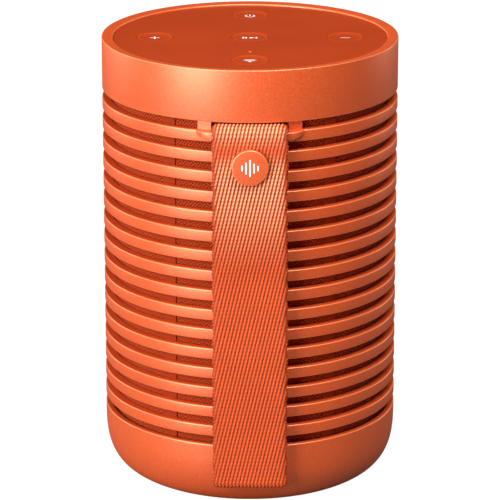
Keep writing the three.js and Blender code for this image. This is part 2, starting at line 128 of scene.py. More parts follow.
@dataclass
class Triangles(Patch):
    """Loose triangles, (n, 4, 3): each is a quad whose fourth corner lies on its third, to be merged."""

    def index(self) -> NDArray:
        """The four point numbers of each triangle."""
        return np.arange(self.points.shape[0] * 4).reshape(-1, 4)


def corners_of(grid: NDArray) -> NDArray:
    """The four corner values of every cell of a grid, one cell to a row."""
    cells = np.stack([grid[:-1, :-1], grid[:-1, 1:], grid[1:, 1:], grid[1:, :-1]], axis=2)
    return cells.reshape(-1, 4, *grid.shape[2:])


def make_piece(name: str, patches: Iterable[Patch], crease_deg: float = 35.0) -> Piece:
    """Joins patches into one smooth mesh object whose faces point outwards.

    Args:
        name: the piece's name.
        patches: the grids that make up its surface; coincident points are merged.
        crease_deg: an edge bent by more than this stays sharp.

    Returns:
        The new object, linked to the scene.
    """
    patches = list(patches)
    starts = np.cumsum([0] + [patch.points.size // 3 for patch in patches])
    quads = np.concatenate([start + patch.index() for start, patch in zip(starts, patches)])
    points = np.concatenate([patch.points.reshape(-1, 3) for patch in patches])
    uv = np.concatenate([patch.corner_uv() for patch in patches])
    relief = np.concatenate([patch.point_relief() for patch in patches])
    mesh = bpy.data.meshes.new(name)
    mesh.from_pydata((points * MM).tolist(), [], quads.tolist())
    layer = mesh.uv_layers.new(name="UVMap")
    layer.data.foreach_set("uv", uv.astype(np.float32).ravel())
    attribute = mesh.attributes.new(RELIEF, "FLOAT", "POINT")
    attribute.data.foreach_set("value", relief.astype(np.float32))
    mesh.update(calc_edges=True)
    work = bmesh.new()
    work.from_mesh(mesh)
    bmesh.ops.remove_doubles(work, verts=work.verts, dist=2e-7)
    bmesh.ops.dissolve_degenerate(work, edges=work.edges, dist=1e-7)
    bmesh.ops.recalc_face_normals(work, faces=work.faces)
    work.to_mesh(mesh)
    work.free()
    mesh.shade_smooth()
    mesh.set_sharp_from_angle(angle=math.radians(crease_deg))
    piece = bpy.data.objects.new(name, mesh)
    bpy.context.scene.collection.objects.link(piece)
    return piece


def rounded(corners: Sequence[tuple[float, float, float]], steps: int = 4,
            closed: bool = True) -> tuple[Array, Array]:
    """An outline whose corners are rounded by parabolas.

    A corner C with reach d is replaced by (1-t)^2 A + 2t(1-t) C + t^2 B, where A and B lie d before and
    after it on its sides.

    Args:
        corners: (a, b, reach) of each corner, in millimetres; reach 0 keeps it sharp.
        steps: segments in each rounding.
        closed: whether the last corner leads back to the first.

    Returns:
        The outline's points, (n, 2), and for each point how far it is into a rounding, from 0 to 1.
    """
    spots = np.array([c[:2] for c in corners], float)
    reach = np.array([c[2] for c in corners], float)
    before, after = np.roll(spots, 1, axis=0) - spots, np.roll(spots, -1, axis=0) - spots
    if not closed:
        reach[[0, -1]] = 0
    outline, edge = [], []
    for spot, back, ahead, d in zip(spots, before, after, reach):
        if d == 0:
            outline.append(spot[None])
            edge.append(np.zeros(1))
            continue
        t = np.linspace(0, 1, steps + 1)[:, None]
        a = spot + back / np.linalg.norm(back) * d
        b = spot + ahead / np.linalg.norm(ahead) * d
        outline.append((1 - t) ** 2 * a + 2 * t * (1 - t) * spot + t**2 * b)
        edge.append(np.sin(np.pi * t[:, 0]))
    return np.concatenate(outline), np.concatenate(edge)


def revolve(profile: Array, edge: Array | None = None, closed: bool = True, turns: int = 224,
            start_deg: float = 0.0, sweep_deg: float = 360.0) -> Patch:
    """A profile of (radius, height) points carried round the Z axis: (r sin a, -r cos a, z).

    Args:
        profile: (n, 2) array in millimetres.
        edge: (n,) relief values along the profile, or None.
        closed: whether the profile closes on itself.
        turns: segments in a full turn.
        start_deg: where the sweep starts, in degrees from -Y towards +X.
        sweep_deg: how far it goes; 360 closes it.

    Returns:
        The patch, with distance round the drum and along the profile as its pattern coordinates.
    """
    full = abs(sweep_deg) >= 360
    count = max(3, round(turns * abs(sweep_deg) / 360))
    ring = np.radians(start_deg + sweep_deg * np.arange(count if full else count + 1) / count)
    r, z = profile[:, 0][:, None], profile[:, 1][:, None]
    points = np.stack([r * np.sin(ring), -r * np.cos(ring), z + 0 * ring], axis=2)
    outline = np.concatenate([profile, profile[:1]]) if closed else profile
    along = np.concatenate([[0], np.cumsum(np.linalg.norm(np.diff(outline, axis=0), axis=1))])
    round_it = np.radians(start_deg + sweep_deg * np.arange(count + 1) / count) * profile[:, 0].max()
    uv = np.stack(np.meshgrid(round_it, along), axis=2)
    relief = None if edge is None else np.repeat(edge[:, None], points.shape[1], axis=1)
    return Patch(points, (closed, full), uv, relief)


def full_turn(count: int) -> Array:
    """Even angles round a circle, in radians."""
    return 2 * np.pi * np.arange(count) / count


def ring_outline(radius: float, count: int, centre: tuple[float, float] = (0.0, 0.0)) -> Array:
    """Points evenly round a circle."""
    angle = full_turn(count)
    return np.stack([centre[0] + radius * np.cos(angle), centre[1] + radius * np.sin(angle)], axis=1)


# ---- finishes


class Graph:
    """A material's node tree with one Principled shader, and short calls for the nodes used here."""

    def __init__(self, name: str, **sockets: float | tuple) -> None:
        """Starts a material.

        Args:
            name: the material's name.
            **sockets: fixed values of the shader's sockets, with _ for a space in a socket's name.
        """
        self.material = bpy.data.materials.new(name)
        self.material.use_nodes = True
        self.tree = self.material.node_tree
        self.shader = self.tree.nodes["Principled BSDF"]
        for key, value in sockets.items():
            self.shader.inputs[key.replace("_", " ")].default_value = value

    def add(self, kind: str, *inputs: Value, out: int | str = 0, **options: str | bool) -> Socket:
        """Adds a node and returns one of its outputs.

        Args:
            kind: the node's type without its ShaderNode prefix.
            *inputs: a value or a socket for each input in order; None leaves it alone.
            out: which output to return.
            **options: the node's own settings.
        """
        node = self.tree.nodes.new("ShaderNode" + kind)
        for key, value in options.items():
            setattr(node, key, value)
        for socket, value in zip(node.inputs, inputs):
            if isinstance(value, Socket):
                self.tree.links.new(value, socket)
            elif value is not None:
                socket.default_value = value
        return node.outputs[out]

    def math(self, operation: str, a: Value, b: Value = None) -> Socket:
        """One Math node."""
        return self.add("Math", a, b, operation=operation)

    def millimetres(self) -> Socket:
        """The piece's own coordinates, in millimetres."""
        return self.add("Mapping", self.add("TexCoord", out="Object"), None, None, (1 / MM, 1 / MM, 1 / MM))

    def noise(self, where: Socket, scale: float, detail: float = 2.0) -> Socket:
        """Noise from 0 to 1 with the given number of cells to a unit."""
        return self.add("TexNoise", where, None, scale, detail, 0.5)

    def spread(self, value: Socket, low: float, high: float,
               to: tuple[float, float] = (0.0, 1.0)) -> Socket:
        """Maps low..high of a value to the span to, and keeps it inside."""
        return self.add("MapRange", value, low, high, to[0], to[1], clamp=True)

    def mix(self, share: Value, a: Value, b: Value) -> Socket:
        """A colour between a and b."""
        a, b = ((*colour, 1.0) if isinstance(colour, tuple) else colour for colour in (a, b))
        return self.add("Mix", share, *[None] * 5, a, b, out=2, data_type="RGBA")

    def relief(self) -> Socket:
        """The piece's relief attribute, 0 where it has none."""
        return self.add("Attribute", out="Fac", attribute_name=RELIEF, attribute_type="GEOMETRY")

    def set(self, name: str, value: Socket) -> None:
        """Feeds one of the shader's sockets."""
        self.tree.links.new(value, self.shader.inputs[name])

    def bump(self, height: Socket, depth_mm: float) -> None:
        """Bumps the shader's normal by a height of 0 to 1 times a depth.

        Args:
            height: the height, from 0 to 1.
            depth_mm: what a height of 1 stands for.
        """
        node = self.tree.nodes.new("ShaderNodeBump")
        node.inputs["Distance"].default_value = depth_mm * MM
        self.tree.links.new(height, node.inputs["Height"])
        self.set("Normal", node.outputs["Normal"])

    def grained(self, grain: Socket, roughness: tuple[float, float], depth_mm: float) -> Material:
        """Varies the roughness by a grain, bumps the surface by it and returns the material.

        Args:
            grain: a value from 0 to 1.
            roughness: the lowest and the highest roughness.
            depth_mm: depth of the bumps.

        Returns:
            The finished material.
        """
        self.set("Roughness", self.spread(grain, 0.3, 0.7, roughness))
        self.bump(grain, depth_mm)
        return self.material


def shade(colour: Colour, factor: float) -> Colour:
    """A colour made lighter or darker."""
    return tuple(min(1.0, c * factor) for c in colour)


@dataclass(frozen=True)
class AnodisedAluminium:
    """Blasted and dyed aluminium: satin, with a fine pale grain and painted highlights along its eased edges."""

    name: str = "anodised_aluminium"
    colour: Colour = (0.80, 0.076, 0.004)
    # paler orange, used for the painted edge highlights and for the pale grain
    highlight_and_grain_colour: Colour = (1.0, 0.30, 0.10)
    roughness: float = 0.42
    grain_mm: float = 0.4

    def material(self) -> Material:
        """Builds the material.

        Returns:
            The material.
        """
        g = Graph(self.name, Metallic=0.25, IOR=2.6, Specular_Tint=(1.0, 0.75, 0.54, 1.0))
        at = g.millimetres()
        grain = g.noise(at, 1 / self.grain_mm, 3)
        cloud = g.noise(at, 0.035, 2)
        tone = g.mix(g.spread(cloud, 0.35, 0.65), shade(self.colour, 0.955), shade(self.colour, 1.03))
        # pale random grain, in the same paler orange as the painted edge highlights
        tone = g.mix(g.spread(grain, 0.4, 0.7, (0.0, 0.25)), tone, self.highlight_and_grain_colour)
        # painted highlight: eased edges and rims are mixed towards the paler orange by their relief
        g.set("Base Color", g.mix(g.math("MULTIPLY", g.relief(), 0.7), tone, self.highlight_and_grain_colour))
        return g.grained(grain, (self.roughness - 0.04, self.roughness + 0.05), 0.035)


@dataclass(frozen=True)
class MouldedPolymer:
    """A spark-eroded moulding: a fine leather-like texture, a soft sheen and painted highlights where its relief
    is high.
    """

    name: str
    colour: Colour
    roughness: float = 0.5
    grain_mm: float = 0.18
    depth_mm: float = 0.015

    def material(self) -> Material:
        """Builds the material.

        Returns:
            The material.
        """
        g = Graph(self.name, Specular_IOR_Level=0.10)
        at = g.millimetres()
        grain = g.noise(at, 1 / self.grain_mm, 2)
        cloud = g.noise(at, 0.06, 3)
        tone = g.mix(g.spread(cloud, 0.3, 0.7), shade(self.colour, 0.95), shade(self.colour, 1.05))
        # painted highlight: eased edges and the keys' lit rings are mixed towards a paler colour by their relief
        tone = g.mix(g.math("MULTIPLY", g.relief(), 0.6), tone, shade(self.colour, 1.5))
        g.set("Base Color", g.mix(g.spread(grain, 0.4, 0.7, (0.0, 0.25)), tone, shade(self.colour, 1.5)))
        return g.grained(grain, (self.roughness - 0.06, self.roughness + 0.08), self.depth_mm)


@dataclass(frozen=True)
class PrintedInk:
    """Opaque pad-printed ink, very slightly uneven, with a faint painted glow."""

    name: str = "white_ink"
    colour: Colour = (0.93, 0.90, 0.88)

    def material(self) -> Material:
        """Builds the material.

        Returns:
            The material.
        """
        # painted light: a faint glow, though the ink is no lamp
        g = Graph(self.name, Emission_Color=(1.0, 0.97, 0.95, 1.0), Emission_Strength=0.18)
        blot = g.noise(g.millimetres(), 7, 2)
        g.set("Base Color", g.mix(g.spread(blot, 0.3, 0.7), shade(self.colour, 0.93), self.colour))
        g.set("Roughness", g.spread(blot, 0.3, 0.7, (0.42, 0.56)))
        return g.material


@dataclass(frozen=True)
class SpeakerClothWeave:
    """Basket weave laid at 45 degrees: yarns of two directions that pass over each other in turn."""

    name: str = "speaker_cloth"
    yarn: Colour = (0.50, 0.056, 0.009)
    gap: Colour = (0.05, 0.004, 0.001)
    pitch_mm: float = 0.66

    def material(self) -> Material:
        """Builds the material.

        Returns:
            The material.
        """
        g = Graph(self.name, Roughness=0.9, Specular_IOR_Level=0.15)
        turned = g.add("Mapping", g.add("UVMap"), None, (0.0, 0.0, math.radians(45)))
        u, v = (g.math("MULTIPLY", g.add("SeparateXYZ", turned, out=axis), math.pi / self.pitch_mm)
                for axis in "XY")
        warp, weft = g.math("SINE", u), g.math("SINE", v)
        over = g.spread(g.math("MULTIPLY", g.math("SINE", g.math("MULTIPLY", u, 0.5)),
                               g.math("SINE", g.math("MULTIPLY", v, 0.5))), -0.2, 0.2)
        high = g.math("ADD", g.math("MULTIPLY", g.math("ABSOLUTE", warp), over),
                      g.math("MULTIPLY", g.math("ABSOLUTE", weft), g.math("SUBTRACT", 1.0, over)))
        fuzz = g.noise(g.millimetres(), 9, 3)
        tone = g.mix(g.spread(high, 0.25, 0.95), self.gap, self.yarn)
        g.set("Base Color", g.mix(g.math("MULTIPLY", fuzz, 0.18), tone, shade(self.yarn, 1.5)))
        g.bump(g.math("ADD", high, g.math("MULTIPLY", fuzz, 0.3)), 0.25)
        return g.material


@dataclass(frozen=True)
class WebbingYarn:
    """Dyed polyester webbing: fine filaments, painted shade in the hollows, and painted highlights on the crests
    that grow towards the top and fade just under the eye.
    """

    name: str = "webbing"
    crest: Colour = (0.60, 0.066, 0.008)
    # painted shade in the weave's hollows
    hollow: Colour = (0.20, 0.017, 0.002)
    # darker painted shade in the hollows where the painted highlight is strong
    deep: Colour = (0.06, 0.004, 0.0005)
    # painted highlight on the crests
    crest_highlight: Colour = (1.0, 0.52, 0.28)
    # heights in millimetres over which the painted light rises
    painted_light_rise_mm: tuple[float, float] = (71.0, 91.0)
    # height just under the eye where the painted light fades
    highlight_dip_mm: float = 103.0

    def material(self) -> Material:
        """Builds the material.

        Returns:
            The material.
        """
        g = Graph(self.name, Specular_IOR_Level=0.5, Specular_Tint=(1.0, 0.8, 0.65, 1.0))
        lengthwise = g.add("Mapping", g.add("UVMap"), None, (0.0, 0.0, math.radians(16)), (9.0, 2.2, 1.0))
        filament = g.noise(lengthwise, 1.0, 2)
        at = g.millimetres()
        cloud = g.noise(at, 0.12, 2)
        level, high = g.add("SeparateXYZ", at, out="Z"), g.relief()
        # painted light mask: rises with height, then fades just under the eye
        painted_light_mask = g.spread(level, *self.painted_light_rise_mm, (0.04, 0.95))
        below = g.math("ABSOLUTE", g.math("SUBTRACT", level, self.highlight_dip_mm))
        painted_light_mask = g.math("MULTIPLY", painted_light_mask, g.spread(below, 0.8, 4.5, (0.10, 1.0)))
        # painted shade in the hollows, deeper where the mask is high
        tone = g.mix(g.spread(high, 0.15, 0.80), g.mix(painted_light_mask, self.hollow, self.deep), self.crest)
        # painted highlight on the crests where the mask is high
        tone = g.mix(g.math("MULTIPLY", g.spread(high, 0.66, 1.0), painted_light_mask), tone, self.crest_highlight)
        tone = g.mix(g.spread(filament, 0.35, 0.7, (0.0, 0.16)), tone, shade(self.crest, 1.35))
        g.set("Base Color", g.mix(g.spread(cloud, 0.4, 0.7, (0.0, 0.10)), tone, self.hollow))
        return g.grained(filament, (0.45, 0.65), 0.05)


@dataclass(frozen=True)
class Elastomer:
    """Rubber with a dull bloom and fine speckle."""

    name: str
    colour: Colour
    roughness: float = 0.75

    def material(self) -> Material:
        """Builds the material.

        Returns:
            The material.
        """
        g = Graph(self.name)
        at = g.millimetres()
        bloom, speckle = g.noise(at, 0.2, 3), g.noise(at, 5, 2)
        g.set("Base Color", g.mix(g.spread(bloom, 0.35, 0.65), self.colour, shade(self.colour, 1.3)))
        return g.grained(speckle, (self.roughness - 0.08, self.roughness + 0.1), 0.02)


@dataclass(frozen=True)
class PlatedSteel:
    """Zinc or nickel plated steel with faint drawing lines."""

    name: str
    colour: Colour
    roughness: float = 0.32

    def material(self) -> Material:
        """Builds the material.

        Returns:
            The material.
        """
        g = Graph(self.name, Metallic=1.0)
        lines = g.noise(g.add("Mapping", g.millimetres(), None, None, (0.4, 0.4, 6.0)), 1.0, 2)
        g.set("Base Color", g.mix(g.spread(lines, 0.3, 0.7), shade(self.colour, 0.85), self.colour))
        return g.grained(lines, (self.roughness - 0.08, self.roughness + 0.1), 0.008)


@dataclass(frozen=True)
class CircuitLaminate:
    """Green solder mask over faint copper tracks."""

    name: str = "circuit_laminate"
    mask: Colour = (0.012, 0.09, 0.035)
    track: Colour = (0.03, 0.18, 0.06)

    def material(self) -> Material:
        """Builds the material.

        Returns:
            The material.
        """
        g = Graph(self.name, Roughness=0.35, Coat_Weight=0.5, Coat_Roughness=0.15)
        cells = g.add("TexVoronoi", g.millimetres(), None, 0.7, distance="CHEBYCHEV", feature="F1")
        stripes = g.spread(g.math("FRACT", g.math("MULTIPLY", cells, 4.0)), 0.45, 0.55)
        g.set("Base Color", g.mix(stripes, self.mask, self.track))
        g.bump(stripes, 0.03)
        return g.material


class Look(Enum):
    """The finishes of this speaker, each built once."""

    METAL = AnodisedAluminium()
    PANEL = MouldedPolymer("panel_polymer", (0.37, 0.041, 0.0078), 0.46, 0.3)
    KEY = MouldedPolymer("key_polymer", (0.39, 0.044, 0.0085), 0.42, 0.14)
    PILLAR = MouldedPolymer("pillar_polymer", (0.27, 0.028, 0.005), 0.7)
    ENCLOSURE = MouldedPolymer("enclosure_polymer", (0.022, 0.022, 0.024), 0.5, 0.3)
    CONE = MouldedPolymer("cone_material", (0.012, 0.012, 0.013), 0.7, 0.5, 0.05)
    CELL = MouldedPolymer("cell_wrap", (0.03, 0.11, 0.30), 0.3, 0.8)
    LIGHT_GUIDE = MouldedPolymer("light_guide", (0.72, 0.22, 0.10), 0.25, 0.4, 0.005)
    INK = PrintedInk()
    CLOTH = SpeakerClothWeave()
    WEBBING = WebbingYarn()
    FOOT = Elastomer("foot_rubber", (0.42, 0.075, 0.025))
    SEAL = Elastomer("seal_rubber", (0.012, 0.012, 0.012))
    STEEL = PlatedSteel("screw_steel", (0.62, 0.62, 0.63))
    MAGNET = PlatedSteel("magnet_steel", (0.10, 0.10, 0.11), 0.45)
    BOARD = CircuitLaminate()

    def on(self, piece: Piece) -> Piece:
        """Dresses a piece in this finish and returns the piece.

        Args:
            piece: the object to dress.

        Returns:
            The same object.
        """
        material = bpy.data.materials.get("look_" + self.name) or self.value.material()
        material.name = "look_" + self.name
        piece.data.materials.clear()
        piece.data.materials.append(material)
        return piece


def install(piece: Piece, look: Look, nodes: Sequence[str] = (),
            body: str | None = "housing") -> Piece:
    """Dresses a finished piece and says how it belongs to the model.

    Args:
        piece: the new piece.
        look: its finish.
        nodes: the CAD nodes that it stands for.
        body: the body that it rides on, or None to leave it unattached, as for a piece that spans two bodies.

    Returns:
        The same piece.
    """
    look.on(piece)
    if body:
        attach(piece, body)
    if nodes:
        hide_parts(*nodes)
    log.info("%s: %d faces in %s", piece.name, len(piece.data.polygons), look.name)
    return piece


def node_span(node: str) -> tuple[Array, Array]:
    """Lowest and highest corner of a CAD node, in millimetres."""
    low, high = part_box(node)
    return np.array(low) / MM, np.array(high) / MM


def measured(node: str, corner: int, axis: int, more: float = 0.0) -> Any:
    """A dataclass field read from a CAD node's box: corner 0 is the lowest and 1 the highest."""
    return field(default_factory=lambda: float(node_span(node)[corner][axis]) + more)


# ---- the drum


@dataclass
class Drum:
    """The metal body: top ring, ribs on their pillars, base and foot. Sizes are in millimetres."""

    radius: float = measured("rib_cage", 1, 0)
    height: float = measured("top_ring", 1, 2)
    base_top: float = measured("base_shell", 1, 2)
    rib_count: int = 16
    rib_height: float = 3.0
    slot_height: float = 2.5
    rib_depth: float = 2.1
    rim_width: float = 3.0
    rim_fall: float = 0.28
    edge: float = 0.32
    pillar_angle: float = 34.0
    pillar_width: float = 3.6
    base_power: float = 3.0
    base_reach: float = 16.5
    base_drop: float = 18.2
    floor_z: float = 0.8
    foot_radius: float = 29.8
    notch_half_angle: float = 14.75

    @property
    def band_bottom(self) -> float:
        """Where the top ring's wall ends."""
        return self.base_top + self.slot_height + self.rib_count * (self.rib_height + self.slot_height)

    def build(self) -> None:
        """Makes every piece of the drum."""
        install(make_piece("top_band", [self.band()]), Look.METAL, ["top_ring"])
        install(make_piece("ribs", self.ribs()), Look.METAL, ["rib_cage"])
        install(make_piece("pillars", self.pillars()), Look.PILLAR)
        base = make_piece("base_cup", [self.base()])
        cut_opening(base, slot_prism(33.0, 45.0))
        install(base, Look.METAL, ["base_shell"])
        install(make_piece("foot", [self.foot()]), Look.FOOT, ["foot_pad"])

    def band(self) -> Patch:
        """The top ring: a wall, a rim that falls inwards, a step to the panel and a ledge under it.

        Returns:
            The turned ring.
        """
        inner, rim, top = self.radius - 1.6, self.radius - self.rim_width, self.height
        e = self.edge
        outline, edge = rounded([
            (self.radius, self.band_bottom, e), (self.radius, top, e), (rim, top - self.rim_fall, e),
            (rim, top - 3.3, 0), (rim - 2.4, top - 3.3, 0), (rim - 2.4, top - 5.0, 0),
            (inner, top - 5.0, 0), (inner, self.band_bottom, 0.2),
        ])
        return revolve(outline, edge, turns=320)

    def rib_outline(self, top: float) -> tuple[Array, Array]:
        """A rib's section with its outer edges eased.

        Args:
            top: height of the rib's upper face.

        Returns:
            The outline and its relief, as rounded() gives them.
        """
        e, inner = self.edge, self.radius - self.rib_depth
        return rounded([(self.radius, top - self.rib_height, e * 0.8), (self.radius, top, e),
                        (inner, top, 0), (inner, top - self.rib_height, 0)])

    def ribs(self) -> list[Patch]:
        """One ring to a rib; the first is open at the front for the lug, and closed at its two ends.

        Returns:
            The patches of all ribs.
        """
        pitch, first = self.rib_height + self.slot_height, self.band_bottom - self.slot_height
        outline, edge = self.rib_outline(first)
        gap = self.notch_half_angle
        open_ring = revolve(outline, edge, turns=256, start_deg=gap, sweep_deg=360 - 2 * gap)
        ends = [Patch(np.stack([open_ring.points[:, i], open_ring.points[:, i].mean(axis=0)
                                + 0 * open_ring.points[:, i]]), (False, True)) for i in (0, -1)]
        rings = [revolve(*self.rib_outline(first - i * pitch), turns=256) for i in range(1, self.rib_count)]
        return [open_ring, *ends, *rings]

    def pillars(self) -> list[Patch]:
        """Curved uprights behind the slots, flush with the cloth.

        Returns:
            One block to a pillar.
        """
        outer, inner = self.radius - self.rib_depth - 0.02, self.radius - self.rib_depth - 1.2
        half = math.degrees(self.pillar_width / 2 / outer)
        low, high = self.base_top - 1.5, self.band_bottom + 1.5
        angles = [self.pillar_angle, 180 - self.pillar_angle, 180 + self.pillar_angle, -self.pillar_angle]
        return [arc_block(outer, inner, angle - half, angle + half, low, high) for angle in angles]

    def base(self) -> Patch:
        """The base cup: outside a superellipse of revolution, r = c + a cos^(2/n), z = b - b sin^(2/n).

        Returns:
            The turned cup.
        """
        def curve(reach: float, floor: float, steps: int) -> Array:
            """The superellipse from its floor out to the wall, with reach as its a."""
            angle = np.linspace(np.pi / 2, 0, steps)
            r = self.radius - self.base_reach + reach * np.cos(angle) ** (2 / self.base_power)
            z = self.base_drop - (self.base_drop - floor) * np.sin(angle) ** (2 / self.base_power)
            return np.stack([r, z], axis=1)

        outside = curve(self.base_reach, 0.0, 64)
        outside = outside[outside[:, 1] > self.floor_z + 0.15]
        mouth, edge = rounded([(self.radius, self.base_drop, 0), (self.radius, self.base_top, self.edge),
                               (self.radius - 1.6, self.base_top, 0.15),
                               (self.radius - 1.6, self.base_drop - 0.4, 0)], closed=False)
        inside = curve(self.base_reach - 1.6, 2.8, 40)[::-1]
        foot_edge = self.foot_radius + 0.3
        under = np.array([(0.0, 1.4), (foot_edge, 1.4), (foot_edge, self.floor_z),
                          (outside[0, 0] - 0.4, self.floor_z)])
        middle = np.array([(0.0, 2.8)])
        profile = np.concatenate([under, outside, mouth, inside[1:], middle])
        relief = np.concatenate([np.zeros(len(under) + len(outside)), edge, np.zeros(len(inside))])
        return revolve(profile, relief, closed=False, turns=256)

    def foot(self) -> Patch:
        """A rubber disc with shallow round grooves in its underside: z = 0.25 in them, 0 between.

        Returns:
            The turned disc.
        """
        rim = self.foot_radius
        r = np.linspace(0, rim - 0.7, 260)
        groove = 0.25 * np.clip(1.6 * np.cos(2 * np.pi * r / 3.6) - 0.6, 0, 1)
        groove[r < 4] = 0
        top = np.array([(rim - 0.25, 0.12), (rim, 0.5), (rim, 1.3), (0, 1.3)])
        profile = np.concatenate([np.stack([r, groove], axis=1), top])
        return revolve(profile, closed=False, turns=160)


def prism(section: Array, start: Sequence[float], end: Sequence[float]) -> Patch:
    """A closed prism: a loop of points carried between two offsets, each end drawn in to its middle.

    Args:
        section: (n, 3) points of the loop.
        start: offset of one end.
        end: offset of the other end.

    Returns:
        The closed surface.
    """
    middle = section.mean(axis=0)
    shrink = np.array([0.0, 1.0, 1.0, 0.0])[:, None, None]
    offsets = np.array([start, start, end, end], float)[:, None]
    return Patch(middle + (section - middle) * shrink + offsets, (False, True))


def arc_block(outer: float, inner: float, from_deg: float, to_deg: float, low: float, high: float) -> Patch:
    """A closed block between two radii, two angles and two heights.

    Args:
        outer: radius of its outer face.
        inner: radius of its inner face.
        from_deg: angle of one side, from -Y towards +X.
        to_deg: angle of the other side.
        low: height of its underside.
        high: height of its top.

    Returns:
        The closed surface.
    """
    angle = np.radians(np.linspace(from_deg, to_deg, 9))
    radius = np.repeat([outer, inner], len(angle))
    angle = np.concatenate([angle, angle[::-1]])
    section = np.stack([radius * np.sin(angle), -radius * np.cos(angle), 0 * angle], axis=1)
    return prism(section, (0, 0, low), (0, 0, high))


def port_outline(count: int) -> tuple[Array, Array]:
    """X and Z of points round the charging opening, whose ends are half circles, and each point's angle.

    Args:
        count: number of points.

    Returns:
        (2, n) X and Z in millimetres, and (n,) angles in radians.
    """
    angle = full_turn(count)
    width, height = PORT_SIZE
    x = height / 2 * np.cos(angle) + np.sign(np.cos(angle)) * (width - height) / 2
    return np.stack([x, PORT_Z + height / 2 * np.sin(angle)]), angle


def slot_prism(near: float, far: float) -> Patch:
    """The charging opening as a closed prism along Y."""
    x, z = port_outline(64)[0]
    return prism(np.stack([x, 0 * x, z], axis=1), (0, near, 0), (0, far, 0))


def cut_opening(piece: Piece, cutter_shape: Patch) -> None:
    """Cuts a closed shape out of a piece and keeps the result as the piece's mesh.

    Args:
        piece: the piece to cut.
        cutter_shape: the closed shape to take away.
    """
    cutter = make_piece("cutter", [cutter_shape])
    modifier = piece.modifiers.new("opening", "BOOLEAN")
    modifier.object, modifier.operation, modifier.solver = cutter, "DIFFERENCE", "EXACT"
    bpy.context.view_layer.update()
    made = bpy.data.meshes.new_from_object(piece.evaluated_get(bpy.context.evaluated_depsgraph_get()))
    piece.modifiers.clear()
    piece.data = made
    bpy.data.objects.remove(cutter)


# ---- the cloth


@dataclass
class SpeakerCloth:
    """Four stretched panels of woven cloth between the pillars."""

    radius: float = 38.1
    thickness: float = 0.4
    seam_deg: float = 2.9
    low: float = measured("cloth_back", 0, 2)
    high: float = measured("cloth_back", 1, 2)

    def build(self, drum: Drum) -> None:
        """Makes the panels and dresses each one in cloth.

        Args:
            drum: the drum that holds the cloth.
        """
        a, seam = drum.pillar_angle, self.seam_deg
        pillars = (-a, a, 180 - a, 180 + a, 360 - a)
        for side, start, end in zip(("front", "right", "back", "left"), pillars, pillars[1:]):
            panel = make_piece("cloth_panel_" + side, [self.panel(start + seam, end - seam)])
            piece = install(panel, Look.CLOTH, ["cloth_" + side])

    def panel(self, start: float, end: float) -> Patch:
        """One panel: a thin wall between two angles, its section carried up the drum.

        Args:
            start: angle of one seam, in degrees.
            end: angle of the other seam.

        Returns:
            The closed surface, with distance round and up the drum as its pattern coordinates.
        """
        steps = max(4, round((end - start) / 2))
        angle = np.radians(np.linspace(start, end, steps + 1))
        loop = np.concatenate([angle, angle[::-1]])
        radius = np.repeat([self.radius, self.radius - self.thickness], steps + 1)
        z = np.concatenate([[self.low], np.linspace(self.low, self.high, 12), [self.high]])[:, None]
        middle = np.full_like(radius, self.radius - self.thickness / 2)
        r = np.stack([middle] + [radius] * 12 + [middle])
        points = np.stack([r * np.sin(loop), -r * np.cos(loop), z + 0 * r], axis=2)
        wall = np.concatenate([loop, loop[:1]]) * self.radius
        return Patch(points, (False, True), np.stack(np.meshgrid(wall, z), axis=2))


# ---- keys


class Sign(Enum):
    """What is printed on a key."""

    PLAY = "play"
    PLUS = "volume_up"
    MINUS = "volume_down"
    POWER = "power"
    LINK = "link"


def bar(cx: float, cy: float, width: float, height: float) -> Array:
    """A filled rectangle as a grid of plan points about (cx, cy)."""
    x, y = np.meshgrid(np.linspace(-0.5, 0.5, 7) * width + cx, np.linspace(-0.5, 0.5, 7) * height + cy)
    return np.stack([x, y], axis=2)


def wedge(tip_x: float, back_x: float, height: float) -> Array:
    """A filled triangle that narrows evenly from its back edge to its tip."""
    u, v = np.meshgrid(np.linspace(0, 1, 9), np.linspace(-0.5, 0.5, 7))
    return np.stack([back_x + (tip_x - back_x) * u, v * height * (1 - u)], axis=2)


def bow(radius: float, width: float, from_deg: float, to_deg: float, cy: float = 0.0) -> Array:
    """A filled arc stroke: radius across it and angle along it.

    Args:
        radius: the stroke's middle radius.
        width: the stroke's width.
        from_deg: where it starts.
        to_deg: where it ends.
        cy: Y of the arc's centre.

    Returns:
        The stroke as a grid of plan points.
    """
    angle = np.radians(np.linspace(from_deg, to_deg, 33))[:, None]
    r = np.linspace(radius - width / 2, radius + width / 2, 3)[None, :]
    return np.stack([r * np.cos(angle), r * np.sin(angle) + cy], axis=2)


